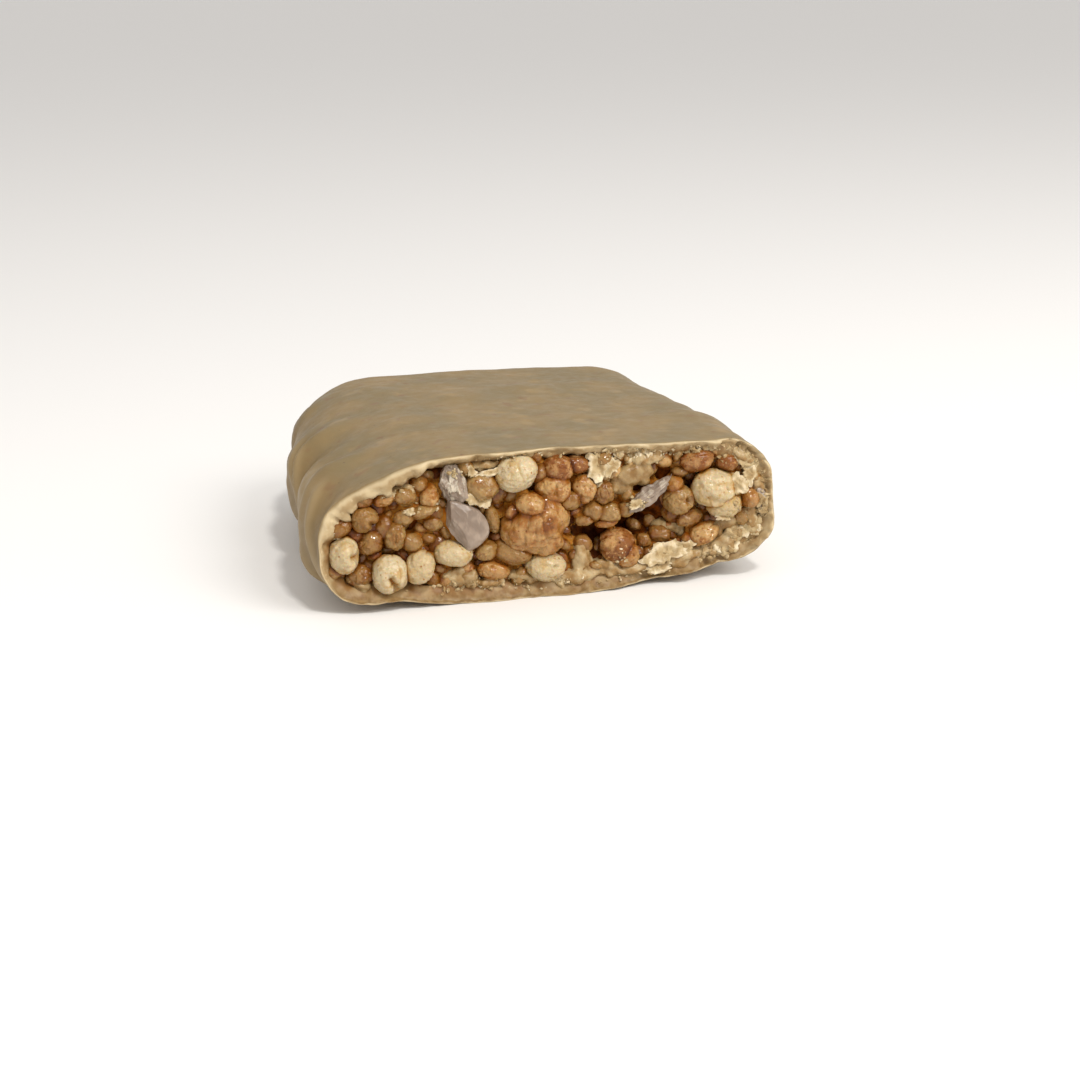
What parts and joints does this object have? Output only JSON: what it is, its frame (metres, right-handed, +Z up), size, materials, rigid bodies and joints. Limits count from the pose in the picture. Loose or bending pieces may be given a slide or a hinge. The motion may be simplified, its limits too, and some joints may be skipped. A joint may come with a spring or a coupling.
{
  "type": "half of a coated crisp protein bar",
  "caption": "Half of a coated protein bar lying flat, cut across so that its filling of puffed crisps and sunflower seeds shows in a thin pale coating.",
  "frame": {"origin": "middle of the bar's box, at the height of the surface it lies on", "axes": "+Z up; +X along the cut face, to the right when facing it; the cut face looks along -Y and the finished end is at +Y"},
  "size_m": [0.0454, 0.0448, 0.015],
  "materials": {
    "coating": "smooth pale compound coating, satin",
    "filling": "syrup-bound puffed crisps and seeds, glossy in places"
  },
  "bodies": {
    "root": {"coating": "coating", "filling": "filling"}
  },
  "joints": []
}
